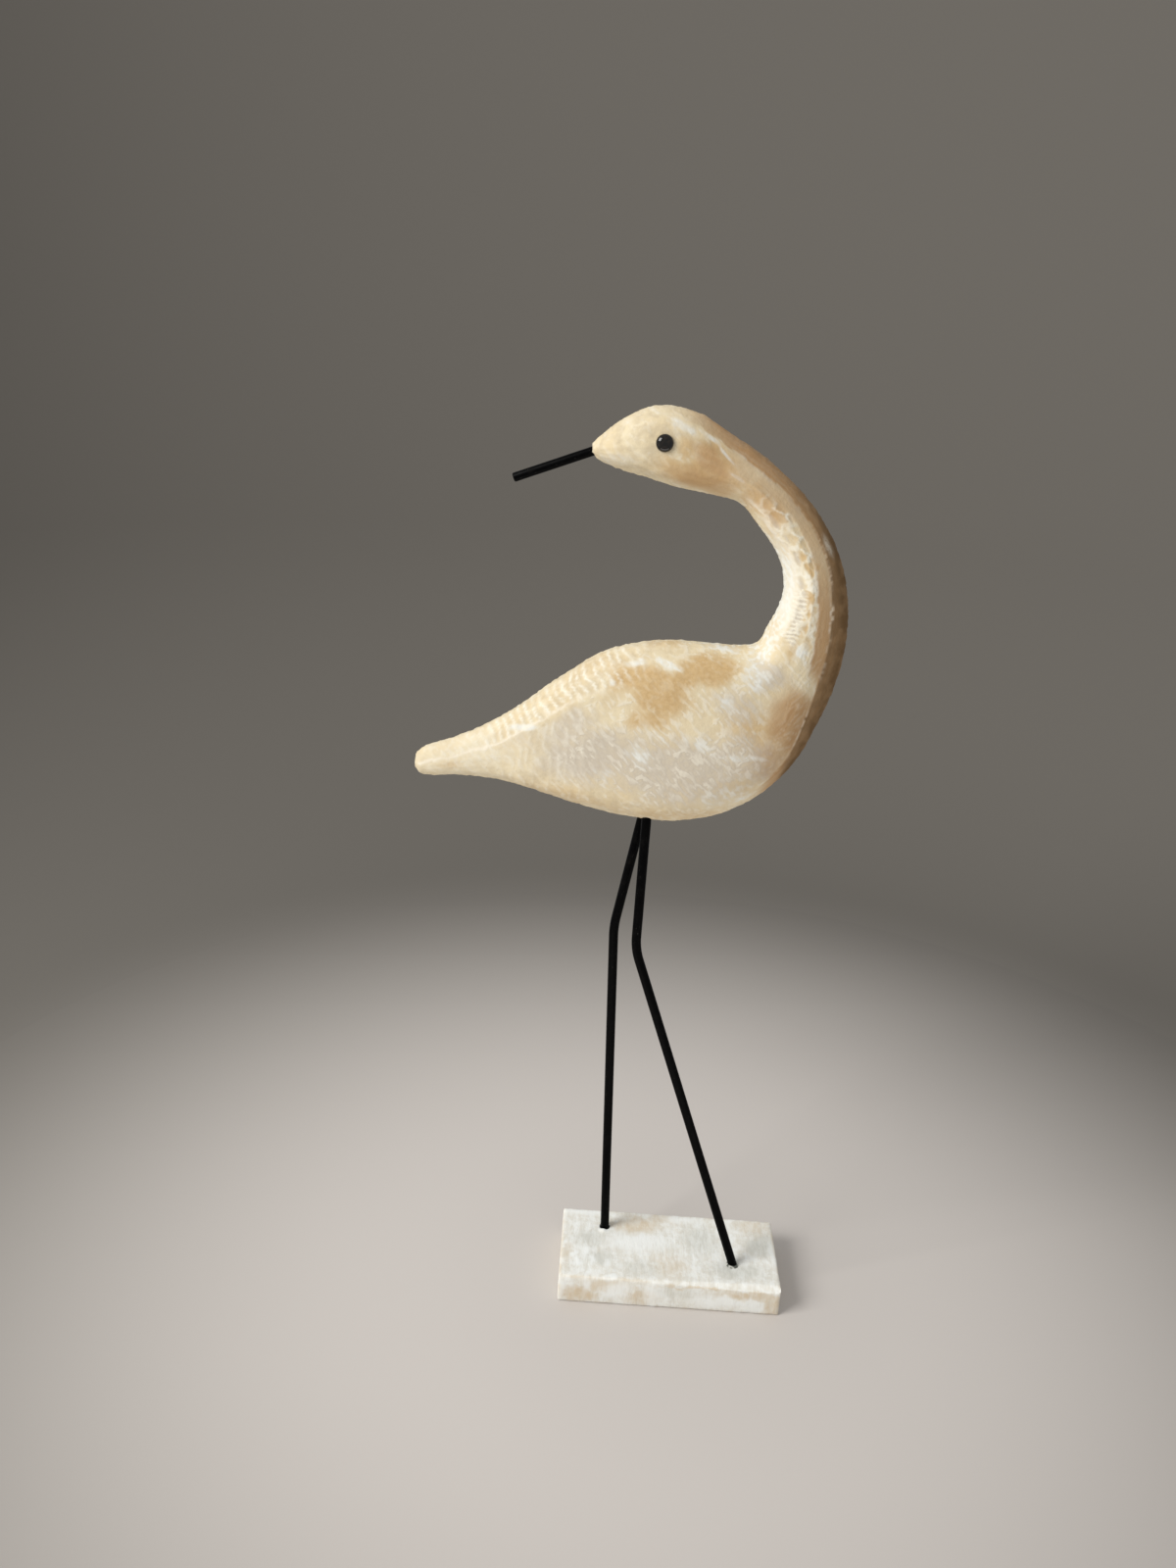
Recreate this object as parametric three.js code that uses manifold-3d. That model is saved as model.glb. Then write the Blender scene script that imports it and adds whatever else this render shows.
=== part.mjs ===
// Wooden bird figure on a stand, in millimetres, +Z up.
// A long-necked wading bird, sawn and carved from one board, stands on two bent rods in a flat
// block. The origin is the centre of the block's underside. X runs along the block, with the
// tail and the head towards -X and the breast towards +X. -Y is the side of the nearer leg.
import * as THREE from 'three';
import { ParametricGeometry } from 'three/addons/geometries/ParametricGeometry.js';
import { RoundedBoxGeometry } from 'three/addons/geometries/RoundedBoxGeometry.js';
import { mergeVertices } from 'three/addons/utils/BufferGeometryUtils.js';
import Module from 'manifold-3d';

const wasm = await Module();
wasm.setup();

// Driving sizes
const BASE_LENGTH = 120;
const BASE_DEPTH = 55;
const BASE_HEIGHT = 17.5;
const BASE_EDGE = 1.1;
const LEG_DIAMETER = 4.75;
const BEAK_DIAMETER = 4.1;
const EYE_DIAMETER = 7.6;
const FIT_GAP = 0.3;
const BIRD_PLANE_Y = 1.7;

// Leg routes, as X, Y, Z: foot at the block's top, knee, and the point where the rod meets the
// belly. The feet stand apart and the hips come together under the middle of the belly. The rods
// run on into blind holes at both ends.
const LEGS = {
  leg_near: {
    foot: [34.8, -10.1, BASE_HEIGHT], knee: [-31.4, -4.9, 203.8], hip: [-30.9, -3, 272.2], bend: 6.5,
  },
  leg_far: {
    foot: [-35.9, 13.5, BASE_HEIGHT], knee: [-42.8, 8.4, 209], hip: [-31.7, 6.6, 276.6], bend: 5.5,
  },
};
const FOOT_DEPTH = 12.5;
const HIP_DEPTH = 15;
const FOOT_HOLE_PLAY = 0.5;

// Beak and eyes, as X, Z in the bird's middle plane
const BEAK_ROOT = [-66.4, 443.1];
const BEAK_TIP = [-101.3, 429.5];
const BEAK_DEPTH = 14;
const EYE_CENTRE = [-36, 449.3];
const EYE_SEAT = 1.6;
const EYE_RISE = 2.4;

// Ribs from the tail end to the beak's root. Each joins a point of the inner edge, which is the
// back, the inside of the neck and the throat, to a point of the outer edge, which is the belly,
// the breast, the nape and the crown. Then come half the wood's thickness, and how far from each
// edge the carver left the ridge of the steep facet and the ridge of the shallow one.
const RIBS = [
  { inner: [-143.2, 298.2], outer: [-143.6, 290.7], half: 4.2, innerRidges: [2, 3.2], outerRidges: [1.8, 3] },
  { inner: [-140.2, 300.7], outer: [-141.2, 288], half: 6.5, innerRidges: [3, 6], outerRidges: [2.2, 4] },
  { inner: [-121.6, 308.7], outer: [-124, 288.3], half: 8.5, innerRidges: [3.4, 8], outerRidges: [3, 6] },
  { inner: [-100.3, 320.7], outer: [-105, 288], half: 11.5, innerRidges: [4, 11.3], outerRidges: [4, 9] },
  { inner: [-79.2, 337.3], outer: [-85.8, 284.1], half: 15, innerRidges: [5, 13], outerRidges: [5, 13] },
  { inner: [-57.4, 352.7], outer: [-65.8, 278.2], half: 18.5, innerRidges: [6, 14.5], outerRidges: [6.5, 17] },
  { inner: [-34, 359.6], outer: [-42, 273.4], half: 21, innerRidges: [6.5, 15], outerRidges: [7.5, 19] },
  { inner: [-12, 360.5], outer: [-16.5, 272.5], half: 22, innerRidges: [6.5, 15], outerRidges: [8, 20] },
  { inner: [5.2, 360.1], outer: [7.8, 279.2], half: 21.5, innerRidges: [6.5, 14.5], outerRidges: [8.3, 20] },
  { inner: [14, 362.1], outer: [31.7, 297.4], half: 19.5, innerRidges: [6, 13], outerRidges: [9.6, 20.5] },
  { inner: [17.8, 369.7], outer: [46.4, 327.2], half: 17, innerRidges: [5.2, 11.5], outerRidges: [12.6, 20.8] },
  { inner: [21.6, 378.6], outer: [53.9, 358], half: 15, innerRidges: [4.6, 10], outerRidges: [11, 19] },
  { inner: [23.2, 388.4], outer: [52.9, 383.2], half: 14.3, innerRidges: [4.4, 9.2], outerRidges: [9.3, 16.2] },
  { inner: [19.5, 401.6], outer: [46.5, 403.8], half: 14, innerRidges: [4.4, 8.6], outerRidges: [7.4, 13.4] },
  { inner: [9.4, 414.7], outer: [34.4, 422.6], half: 14, innerRidges: [4.2, 8.4], outerRidges: [6, 11.6] },
  { inner: [-1.2, 425], outer: [14.3, 440.8], half: 14.5, innerRidges: [4, 8.2], outerRidges: [5.4, 10.8] },
  { inner: [-14, 427.8], outer: [-6, 453.5], half: 15, innerRidges: [4, 8], outerRidges: [5.2, 10.6] },
  { inner: [-29, 429.8], outer: [-23.1, 462.3], half: 15.5, innerRidges: [4, 8.5], outerRidges: [5.2, 10.6] },
  { inner: [-44, 433.7], outer: [-40.8, 463.8], half: 15, innerRidges: [4, 8.5], outerRidges: [5, 10] },
  { inner: [-56, 436.5], outer: [-55.6, 456.7], half: 12, innerRidges: [3.4, 6.4], outerRidges: [4, 7.4] },
  { inner: [-64.5, 439.6], outer: [-64.3, 449.2], half: 7, innerRidges: [2.2, 3.6], outerRidges: [2.3, 3.8] },
  { inner: [-67, 442], outer: [-67.1, 446.5], half: 3.5, innerRidges: [1, 1.8], outerRidges: [1, 1.8] },
];
const STEPS_BETWEEN_RIBS = 4;

// Thickness of the carved section, as parts of the half thickness, at the edge itself, at the
// ridge of the steep facet, at the ridge of the shallow facet, and at the middle of the flat
const EDGE_THICKNESS = 0.28;
const STEEP_RIDGE_THICKNESS = 0.78;
const SHALLOW_RIDGE_THICKNESS = 0.95;

const ROUND_SIDES = 12;
const LEG_STEPS = 64;

// Materials
const whitewashedWood = new THREE.MeshStandardMaterial({
  color: 0xdccdb0, roughness: 0.75, metalness: 0, flatShading: true,
});
const whitewashedBlock = new THREE.MeshStandardMaterial({
  color: 0xe2ddd0, roughness: 0.8, metalness: 0, flatShading: true,
});
const blackPaintedRod = new THREE.MeshStandardMaterial({
  color: 0x151716, roughness: 0.5, metalness: 0.2,
});
const blackBead = new THREE.MeshStandardMaterial({
  color: 0x0b0b0b, roughness: 0.12, metalness: 0,
});

function toSolid(geometry) {
  const bare = geometry.clone();
  bare.deleteAttribute('normal');
  bare.deleteAttribute('uv');
  const merged = mergeVertices(bare, 1e-4);
  return new wasm.Manifold(new wasm.Mesh({
    numProp: 3,
    vertProperties: new Float32Array(merged.attributes.position.array),
    triVerts: new Uint32Array(merged.index.array),
  }));
}

function toGeometry(solid) {
  const mesh = solid.getMesh();
  const geometry = new THREE.BufferGeometry();
  geometry.setAttribute('position', new THREE.BufferAttribute(new Float32Array(mesh.vertProperties), 3));
  geometry.setIndex(new THREE.BufferAttribute(new Uint32Array(mesh.triVerts), 1));
  geometry.computeVertexNormals();
  return geometry;
}

function inPlane([x, z], y) {
  return new THREE.Vector3(x, y, z);
}

// A round plug along a line, used to drill holes and seats
function drill(from, to, diameter) {
  const axis = new THREE.Vector3().subVectors(to, from);
  const plug = new THREE.CylinderGeometry(diameter / 2, diameter / 2, axis.length(), 2 * ROUND_SIDES);
  const turn = new THREE.Quaternion().setFromUnitVectors(
    new THREE.Vector3(0, 1, 0), axis.clone().normalize());
  plug.applyQuaternion(turn);
  plug.translate((from.x + to.x) / 2, (from.y + to.y) / 2, (from.z + to.z) / 2);
  return toSolid(plug);
}

// Legs
function legRoute({ foot, knee, hip, bend }) {
  const footPoint = new THREE.Vector3(...foot);
  const kneePoint = new THREE.Vector3(...knee);
  const hipPoint = new THREE.Vector3(...hip);
  const shin = new THREE.Vector3().subVectors(kneePoint, footPoint).normalize();
  const thigh = new THREE.Vector3().subVectors(hipPoint, kneePoint).normalize();
  return {
    footPoint,
    hipPoint,
    shin,
    thigh,
    footEnd: footPoint.clone().addScaledVector(shin, -FOOT_DEPTH),
    hipEnd: hipPoint.clone().addScaledVector(thigh, HIP_DEPTH),
    bendStart: kneePoint.clone().addScaledVector(shin, -bend),
    kneePoint,
    bendEnd: kneePoint.clone().addScaledVector(thigh, bend),
  };
}

function roundSection(diameter) {
  const points = [];
  for (let side = 0; side < ROUND_SIDES; side += 1) {
    const angle = (side / ROUND_SIDES) * 2 * Math.PI;
    points.push(new THREE.Vector2(Math.cos(angle), Math.sin(angle)).multiplyScalar(diameter / 2));
  }
  return new THREE.Shape(points);
}

function makeLeg(leg) {
  const route = legRoute(leg);
  const path = new THREE.CurvePath();
  path.add(new THREE.LineCurve3(route.footEnd, route.bendStart));
  path.add(new THREE.QuadraticBezierCurve3(route.bendStart, route.kneePoint, route.bendEnd));
  path.add(new THREE.LineCurve3(route.bendEnd, route.hipEnd));
  const rod = new THREE.ExtrudeGeometry(roundSection(LEG_DIAMETER), {
    steps: LEG_STEPS, extrudePath: path, bevelEnabled: false,
  });
  return toGeometry(toSolid(rod));
}

// Bird
const innerEdge = new THREE.CatmullRomCurve3(RIBS.map((rib) => inPlane(rib.inner, 0)));
const outerEdge = new THREE.CatmullRomCurve3(RIBS.map((rib) => inPlane(rib.outer, 0)));
const halfAndInnerRidges = new THREE.CatmullRomCurve3(
  RIBS.map((rib) => new THREE.Vector3(rib.half, ...rib.innerRidges)));
const outerRidgesOnly = new THREE.CatmullRomCurve3(
  RIBS.map((rib) => new THREE.Vector3(0, ...rib.outerRidges)));
const STACKS = (RIBS.length - 1) * STEPS_BETWEEN_RIBS + 2;

// The carved section at one place along the bird, as its corners from the inner edge round one
// side to the outer edge: how far across the rib each lies, and its half thickness there
function sectionAt(t) {
  const inner = innerEdge.getPoint(t);
  const outer = outerEdge.getPoint(t);
  const depth = inner.distanceTo(outer);
  const [half, innerSteep, innerShallow] = halfAndInnerRidges.getPoint(t).toArray();
  const [, outerSteep, outerShallow] = outerRidgesOnly.getPoint(t).toArray();
  const corners = [
    [0, 0],
    [0, EDGE_THICKNESS],
    [innerSteep / depth, STEEP_RIDGE_THICKNESS],
    [innerShallow / depth, SHALLOW_RIDGE_THICKNESS],
    [(innerShallow + depth - outerShallow) / (2 * depth), 1],
    [1 - outerShallow / depth, SHALLOW_RIDGE_THICKNESS],
    [1 - outerSteep / depth, STEEP_RIDGE_THICKNESS],
    [1, EDGE_THICKNESS],
    [1, 0],
  ];
  return { inner, outer, half, corners };
}
const CORNER_STEPS = sectionAt(0).corners.length - 1;

function birdSurface(around, along, target) {
  const stack = Math.round(along * STACKS);
  const { inner, outer, half, corners } = sectionAt(
    THREE.MathUtils.clamp((stack - 1) / (STACKS - 2), 0, 1));
  if (stack === 0 || stack === STACKS) {
    target.lerpVectors(inner, outer, 0.5);
  } else {
    const step = Math.round(around * 2 * CORNER_STEPS) % (2 * CORNER_STEPS);
    const side = step <= CORNER_STEPS ? -1 : 1;
    const [across, thick] = corners[side < 0 ? step : 2 * CORNER_STEPS - step];
    target.lerpVectors(inner, outer, across);
    target.y = side * thick * half;
  }
  target.y += BIRD_PLANE_Y;
}

function makeBirdBlank() {
  return toSolid(new ParametricGeometry(birdSurface, 2 * CORNER_STEPS, STACKS));
}

const beakAxis = new THREE.Vector3()
  .subVectors(inPlane(BEAK_TIP, BIRD_PLANE_Y), inPlane(BEAK_ROOT, BIRD_PLANE_Y)).normalize();
const beakStart = inPlane(BEAK_ROOT, BIRD_PLANE_Y).addScaledVector(beakAxis, -BEAK_DEPTH);
const EYE_RIB = 17.5;
const headHalf = halfAndInnerRidges.getPoint(EYE_RIB / (RIBS.length - 1)).x;

function makeBird() {
  let bird = makeBirdBlank();
  for (const leg of Object.values(LEGS)) {
    const route = legRoute(leg);
    const below = route.hipPoint.clone().addScaledVector(route.thigh, -HIP_DEPTH);
    const above = route.hipEnd.clone().addScaledVector(route.thigh, FIT_GAP);
    bird = bird.subtract(drill(below, above, LEG_DIAMETER + 2 * FIT_GAP));
  }
  const socketEnd = beakStart.clone().addScaledVector(beakAxis, -FIT_GAP);
  const mouth = inPlane(BEAK_ROOT, BIRD_PLANE_Y).addScaledVector(beakAxis, BEAK_DEPTH);
  bird = bird.subtract(drill(mouth, socketEnd, BEAK_DIAMETER + 2 * FIT_GAP));
  for (const side of [-1, 1]) {
    const seat = inPlane(EYE_CENTRE, BIRD_PLANE_Y + side * (headHalf - EYE_SEAT - FIT_GAP));
    const outside = inPlane(EYE_CENTRE, BIRD_PLANE_Y + side * 2 * headHalf);
    bird = bird.subtract(drill(seat, outside, EYE_DIAMETER + 2 * FIT_GAP));
  }
  return toGeometry(bird);
}

// Beak: a straight rod with its cut end eased
function makeBeak() {
  const radius = BEAK_DIAMETER / 2;
  const length = beakStart.distanceTo(inPlane(BEAK_TIP, BIRD_PLANE_Y));
  const ease = 0.5;
  const profile = [[0, 0], [radius, 0], [radius, length - ease], [radius - ease, length], [0, length]];
  const rod = new THREE.LatheGeometry(profile.map(([r, h]) => new THREE.Vector2(r, h)), ROUND_SIDES);
  rod.applyQuaternion(new THREE.Quaternion().setFromUnitVectors(new THREE.Vector3(0, 1, 0), beakAxis));
  rod.translate(beakStart.x, beakStart.y, beakStart.z);
  return toGeometry(toSolid(rod));
}

// Eye: a round bead set in a shallow seat, domed outwards along side * Y
function makeEye(side) {
  const radius = EYE_DIAMETER / 2;
  const profile = [new THREE.Vector2(0, -EYE_SEAT), new THREE.Vector2(radius, -EYE_SEAT)];
  const domeSteps = 5;
  for (let step = 0; step <= domeSteps; step += 1) {
    const angle = (step / domeSteps) * (Math.PI / 2);
    profile.push(new THREE.Vector2(radius * Math.cos(angle), EYE_RISE * Math.sin(angle)));
  }
  profile[profile.length - 1].x = 0;
  const bead = new THREE.LatheGeometry(profile, 2 * ROUND_SIDES);
  if (side < 0) {
    bead.rotateX(Math.PI);
  }
  bead.translate(EYE_CENTRE[0], BIRD_PLANE_Y + side * headHalf, EYE_CENTRE[1]);
  return toGeometry(toSolid(bead));
}

// Base block with a blind hole for each foot
function makeBase() {
  const box = new RoundedBoxGeometry(BASE_LENGTH, BASE_DEPTH, BASE_HEIGHT, 2, BASE_EDGE);
  box.translate(0, 0, BASE_HEIGHT / 2);
  let base = toSolid(box);
  for (const leg of Object.values(LEGS)) {
    const route = legRoute(leg);
    const below = route.footEnd.clone().addScaledVector(route.shin, -FIT_GAP);
    const above = route.footPoint.clone().addScaledVector(route.shin, FOOT_DEPTH);
    base = base.subtract(drill(above, below, LEG_DIAMETER + 2 * FOOT_HOLE_PLAY));
  }
  return toGeometry(base);
}

const figure = new THREE.Group();

function addPiece(name, geometry, material) {
  const mesh = new THREE.Mesh(geometry, material);
  mesh.name = name;
  figure.add(mesh);
}

addPiece('bird', makeBird(), whitewashedWood);
addPiece('beak_rod', makeBeak(), blackPaintedRod);
addPiece('eye_left', makeEye(-1), blackBead);
addPiece('eye_right', makeEye(1), blackBead);
addPiece('leg_near', makeLeg(LEGS.leg_near), blackPaintedRod);
addPiece('leg_far', makeLeg(LEGS.leg_far), blackPaintedRod);
addPiece('base_block', makeBase(), whitewashedBlock);

export default figure;
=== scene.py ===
# Wooden bird figure on a stand: its looks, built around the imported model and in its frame.
# Metres, +Z up. X runs along the block, with the tail and the head towards -X and the breast
# towards +X. -Y is the side of the nearer leg. Tables in millimetres are scaled by MM.
import math
from collections import namedtuple

import bmesh
import bpy
import numpy as np
from mathutils import Matrix, Vector, noise


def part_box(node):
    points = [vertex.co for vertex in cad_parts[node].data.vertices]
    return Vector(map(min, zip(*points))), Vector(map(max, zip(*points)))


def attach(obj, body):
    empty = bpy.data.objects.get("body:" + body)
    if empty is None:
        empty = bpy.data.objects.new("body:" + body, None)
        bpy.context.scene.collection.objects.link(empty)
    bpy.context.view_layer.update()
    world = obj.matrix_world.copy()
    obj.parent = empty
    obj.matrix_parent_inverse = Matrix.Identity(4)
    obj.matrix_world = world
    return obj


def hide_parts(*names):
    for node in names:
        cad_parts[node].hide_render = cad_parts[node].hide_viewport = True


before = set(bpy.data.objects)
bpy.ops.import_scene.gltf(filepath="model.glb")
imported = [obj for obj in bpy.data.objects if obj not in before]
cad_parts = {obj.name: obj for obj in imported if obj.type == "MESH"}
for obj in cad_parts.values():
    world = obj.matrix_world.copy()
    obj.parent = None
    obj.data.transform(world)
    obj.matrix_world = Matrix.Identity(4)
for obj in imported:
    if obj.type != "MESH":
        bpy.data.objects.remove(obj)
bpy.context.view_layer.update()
scene = bpy.context.scene
MM = 0.001

# Camera
# It stands in front of the figure and above it, turned a little on its own axis, where the
# photograph was taken from.
CAMERA_PLACE = (-0.0530, -0.5541, 0.4897)
CAMERA_DOWN = math.radians(20.0)
CAMERA_TURN = math.radians(-0.74)
CAMERA_ROLL = math.radians(3.43)
CAMERA_LENS = 28.125
CAMERA_SENSOR = 36.0
CAMERA_CLIP = (0.01, 20.0)

camera_data = bpy.data.cameras.new("camera")
camera_data.lens = CAMERA_LENS
camera_data.sensor_width = CAMERA_SENSOR
camera_data.clip_start, camera_data.clip_end = CAMERA_CLIP
camera = bpy.data.objects.new("camera", camera_data)
scene.collection.objects.link(camera)
camera.matrix_world = (
    Matrix.Translation(CAMERA_PLACE)
    @ Matrix.Rotation(-CAMERA_TURN, 4, "Z")
    @ Matrix.Rotation(math.pi / 2 - CAMERA_DOWN, 4, "X")
    @ Matrix.Rotation(CAMERA_ROLL, 4, "Z")
)
scene.camera = camera
scene.view_settings.view_transform = "Standard"

# Studio
# A pale floor that rises in a smooth round cove to a mid grey wall. It is lit by one wide soft
# light from the left, as from a window, by an even glow from all sides, and by a low light in
# front, for what the floor throws up at the block.
FLOOR_PALE = (0.60, 0.565, 0.535, 1)
WALL_GREY = (0.155, 0.145, 0.130, 1)
COVE_START = 0.50
COVE_RADIUS = 0.30
WALL_HEIGHT = 1.6
STUDIO_SIDES = 96
COVE_STEPS = 12
PALE_TO = 0.12
GREY_FROM = 0.56
KEY_PLACE = Vector((-1.45, -0.85, 1.35))
KEY_AIM = Vector((-0.03, 0.0, 0.22))
KEY_SIZE = (0.95, 0.95)
KEY_POWER = 36.0
KEY_COLOUR = (1.0, 0.985, 0.955)
LOW_PLACE = Vector((0.0, -0.21, 0.004))
LOW_AIM = Vector((0.0, -0.21, 1.0))
LOW_SIZE = (0.70, 0.18)
LOW_POWER = 0.75
LOW_COLOUR = (1.0, 0.95, 0.90)
GLOW_COLOUR = (0.90, 0.89, 0.88, 1)
GLOW_STRENGTH = 0.56


def new_material(name, roughness, specular=0.5):
    """A material with its node tree and its shader, on which all that is even is set directly."""
    material = bpy.data.materials.new(name)
    material.use_nodes = True
    shader = material.node_tree.nodes["Principled BSDF"]
    shader.inputs["Roughness"].default_value = roughness
    shader.inputs["Specular IOR Level"].default_value = specular
    return material, material.node_tree, shader


def add_node(tree, kind, inputs=None, **settings):
    """A node of the kind, with its settings and with values or links on the inputs named."""
    node = tree.nodes.new("ShaderNode" + kind)
    for key, value in settings.items():
        setattr(node, key, value)
    for key, value in (inputs or {}).items():
        if isinstance(value, bpy.types.NodeSocket):
            tree.links.new(value, node.inputs[key])
        else:
            node.inputs[key].default_value = value
    return node


def mottle(tree, size, detail=2.0, roughness=0.5, place=None, turn=0, scale=(1, 1, 1)):
    """Noise from about 0 to 1, its lumps about as big as size in metres. It lies on the object's
    own coordinates or on place, which are turned about Y, in degrees, and then scaled."""
    if place is None:
        place = add_node(tree, "TexCoord").outputs["Object"]
    turned = add_node(tree, "Mapping", {"Vector": place, "Rotation": (0, math.radians(turn), 0)})
    laid = add_node(tree, "Mapping", {"Vector": turned.outputs[0], "Scale": scale})
    inputs = {"Vector": laid.outputs[0], "Scale": 1 / size, "Detail": detail,
              "Roughness": roughness}
    return add_node(tree, "TexNoise", inputs).outputs[0]


def step_up(tree, value, start, end, low=0.0, high=1.0):
    """value from start to end becomes a smooth rise from low to high."""
    inputs = {"Value": value, "From Min": start, "From Max": end, "To Min": low, "To Max": high}
    return add_node(tree, "MapRange", inputs, interpolation_type="SMOOTHSTEP").outputs[0]


def calc(tree, operation, first, second):
    """A sum, product or other of two numbers, kept between 0 and 1."""
    return add_node(tree, "Math", {0: first, 1: second}, operation=operation,
                    use_clamp=True).outputs[0]


def times(tree, first, second):
    return calc(tree, "MULTIPLY", first, second)


def blend(tree, share, under, over):
    """over laid on under by share."""
    return add_node(tree, "Mix", {0: share, 6: under, 7: over}, data_type="RGBA").outputs[2]


def set_colour(tree, shader, colour, *coats):
    """The coats, each its share and its colour, lie one after the other on colour."""
    for share, over in coats:
        colour = blend(tree, share, colour, over)
    tree.links.new(colour, shader.inputs["Base Color"])


def set_roughness(tree, shader, roughness):
    tree.links.new(roughness, shader.inputs["Roughness"])


def set_bump(tree, shader, height, strength, distance):
    """Fine relief in the shading alone, up to distance in metres."""
    bump = add_node(tree, "Bump", {"Height": height, "Strength": strength, "Distance": distance})
    tree.links.new(bump.outputs[0], shader.inputs["Normal"])


def finish_mesh(name, bm, material, smooth=True):
    """The built bmesh as an object at the origin."""
    bm.normal_update()
    mesh = bpy.data.meshes.new(name)
    bm.to_mesh(mesh)
    bm.free()
    mesh.materials.append(material)
    mesh.polygons.foreach_set("use_smooth", [smooth] * len(mesh.polygons))
    piece = bpy.data.objects.new(name, mesh)
    scene.collection.objects.link(piece)
    return piece


def extrude_rim(bm, rim):
    """Extrudes the edges of a rim where they lie. Returns the new vertices and edges."""
    new = bmesh.ops.extrude_edge_only(bm, edges=rim)["geom"]
    verts = [v for v in new if isinstance(v, bmesh.types.BMVert)]
    return verts, [e for e in new if isinstance(e, bmesh.types.BMEdge)]


def studio_material():
    material, tree, shader = new_material("studio_paper", 0.9, specular=0.1)
    place = add_node(tree, "TexCoord").outputs["Object"]
    away = add_node(tree, "VectorMath", {0: place}, operation="LENGTH").outputs["Value"]
    set_colour(tree, shader, FLOOR_PALE, (step_up(tree, away, PALE_TO, GREY_FROM), WALL_GREY))
    return material


def make_floor(material):
    bm = bmesh.new()
    bmesh.ops.create_circle(bm, cap_ends=True, segments=STUDIO_SIDES, radius=COVE_START)
    return finish_mesh("studio_floor", bm, material)


def make_wall(material):
    """The cove and the wall, which only show: they neither shade nor colour the figure."""
    profile = []
    for step in range(1, COVE_STEPS + 1):
        angle = math.pi / 2 * step / COVE_STEPS
        profile.append((COVE_START + COVE_RADIUS * math.sin(angle),
                        COVE_RADIUS * (1 - math.cos(angle))))
    profile.append((COVE_START + COVE_RADIUS, WALL_HEIGHT))
    bm = bmesh.new()
    bmesh.ops.create_circle(bm, segments=STUDIO_SIDES, radius=COVE_START)
    rim, near = list(bm.edges), COVE_START
    for far, height in profile:
        verts, rim = extrude_rim(bm, rim)
        bmesh.ops.scale(bm, vec=(far / near, far / near, 1), verts=verts)
        for v in verts:
            v.co.z = height
        near = far
    bmesh.ops.recalc_face_normals(bm, faces=bm.faces)
    bmesh.ops.reverse_faces(bm, faces=bm.faces)
    wall = finish_mesh("studio_wall", bm, material)
    wall.visible_shadow = False
    wall.visible_diffuse = False
    wall.visible_glossy = False
    return wall


def add_light(name, size, power, colour, place, aim):
    """A soft rectangular light, which the camera doesn't see."""
    data = bpy.data.lights.new(name, "AREA")
    data.shape = "RECTANGLE"
    data.size, data.size_y = size
    data.energy = power
    data.color = colour
    light = bpy.data.objects.new(name, data)
    scene.collection.objects.link(light)
    light.location = place
    light.rotation_mode = "QUATERNION"
    light.rotation_quaternion = (aim - place).to_track_quat("-Z", "Y")
    light.visible_camera = False


paper = studio_material()
make_floor(paper)
make_wall(paper)
add_light("window_light", KEY_SIZE, KEY_POWER, KEY_COLOUR, KEY_PLACE, KEY_AIM)
add_light("low_reflector", LOW_SIZE, LOW_POWER, LOW_COLOUR, LOW_PLACE, LOW_AIM)

world = bpy.data.worlds.new("studio_glow")
world.use_nodes = True
backdrop = world.node_tree.nodes["Background"]
backdrop.inputs["Color"].default_value = GLOW_COLOUR
backdrop.inputs["Strength"].default_value = GLOW_STRENGTH
scene.world = world

# Base block
# A short offcut of softwood board, sawn to length, its front top edge worn to a slope. It is
# brushed with a thin white wash and rubbed back until the wood shows in places. Its top has a
# blind hole for each foot, and a lump of thick paint has dried beside the far one.
BASE_LOW, BASE_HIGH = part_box("base_block")
BASE_SIZE = BASE_HIGH - BASE_LOW
BASE_MIDDLE = (BASE_LOW + BASE_HIGH) / 2
BASE_EDGE = 1.1 * MM
BASE_CELL = 0.85 * MM
FOOT_HOLE_DIAMETER = 5.75 * MM
FOOT_DEPTH = 12.5 * MM
HOLE_MOUTH = 6 * MM
HOLE_SIDES = 32
# Wear, in millimetres: the width rubbed along the edges, and how far the front top edge is worn
# back and down, from X = WORN_FROM on and fully WORN_OVER further right.
RUB_WIDTH = 2.2
WORN_WIDTH, WORN_HEIGHT = 3.6, 2.6
WORN_FROM, WORN_OVER = -25, 80
LUMP_PLACE = Vector((-0.0367, 0.0100, 0.0175))
LUMP_RADIUS, LUMP_HEIGHT = 2.8, 1.0
WASH_SEED = 7
# Places of the wash on the block, in millimetres: middle, half sizes, and how strong.
BARE_BEIGE = [
    ((-18, 17, 17.5), (13, 7, 5), 0.85),
    ((-6, 23, 17.5), (10, 5, 5), 0.6),
    ((0, -14, 17.5), (11, 10, 5), 0.45),
    ((50, 21, 17.5), (10, 8, 5), 0.5),
    ((-56, -10, 17.5), (4, 9, 5), 0.45),
    ((-51, -27.5, 6), (13, 4, 5.5), 1.1),
    ((-36, -27.5, 12.5), (11, 4, 4), 0.8),
    ((-15, -27.5, 6.5), (10, 4, 5), 0.85),
    ((44, -27.5, 12), (20, 4, 2.8), 1.0),
    ((57, -27.5, 5), (6, 4, 9), 0.9),
    ((16, -27.5, 14.6), (26, 4, 0.9), 0.85),
    ((60, 2, 8), (3, 26, 8), 0.6),
    ((-60, 5, 6), (3, 20, 6), 0.5),
    ((12, 27.5, 9), (30, 4, 7), 0.6),
    ((-40, 27.5, 5), (16, 4, 5), 0.6),
]
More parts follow.
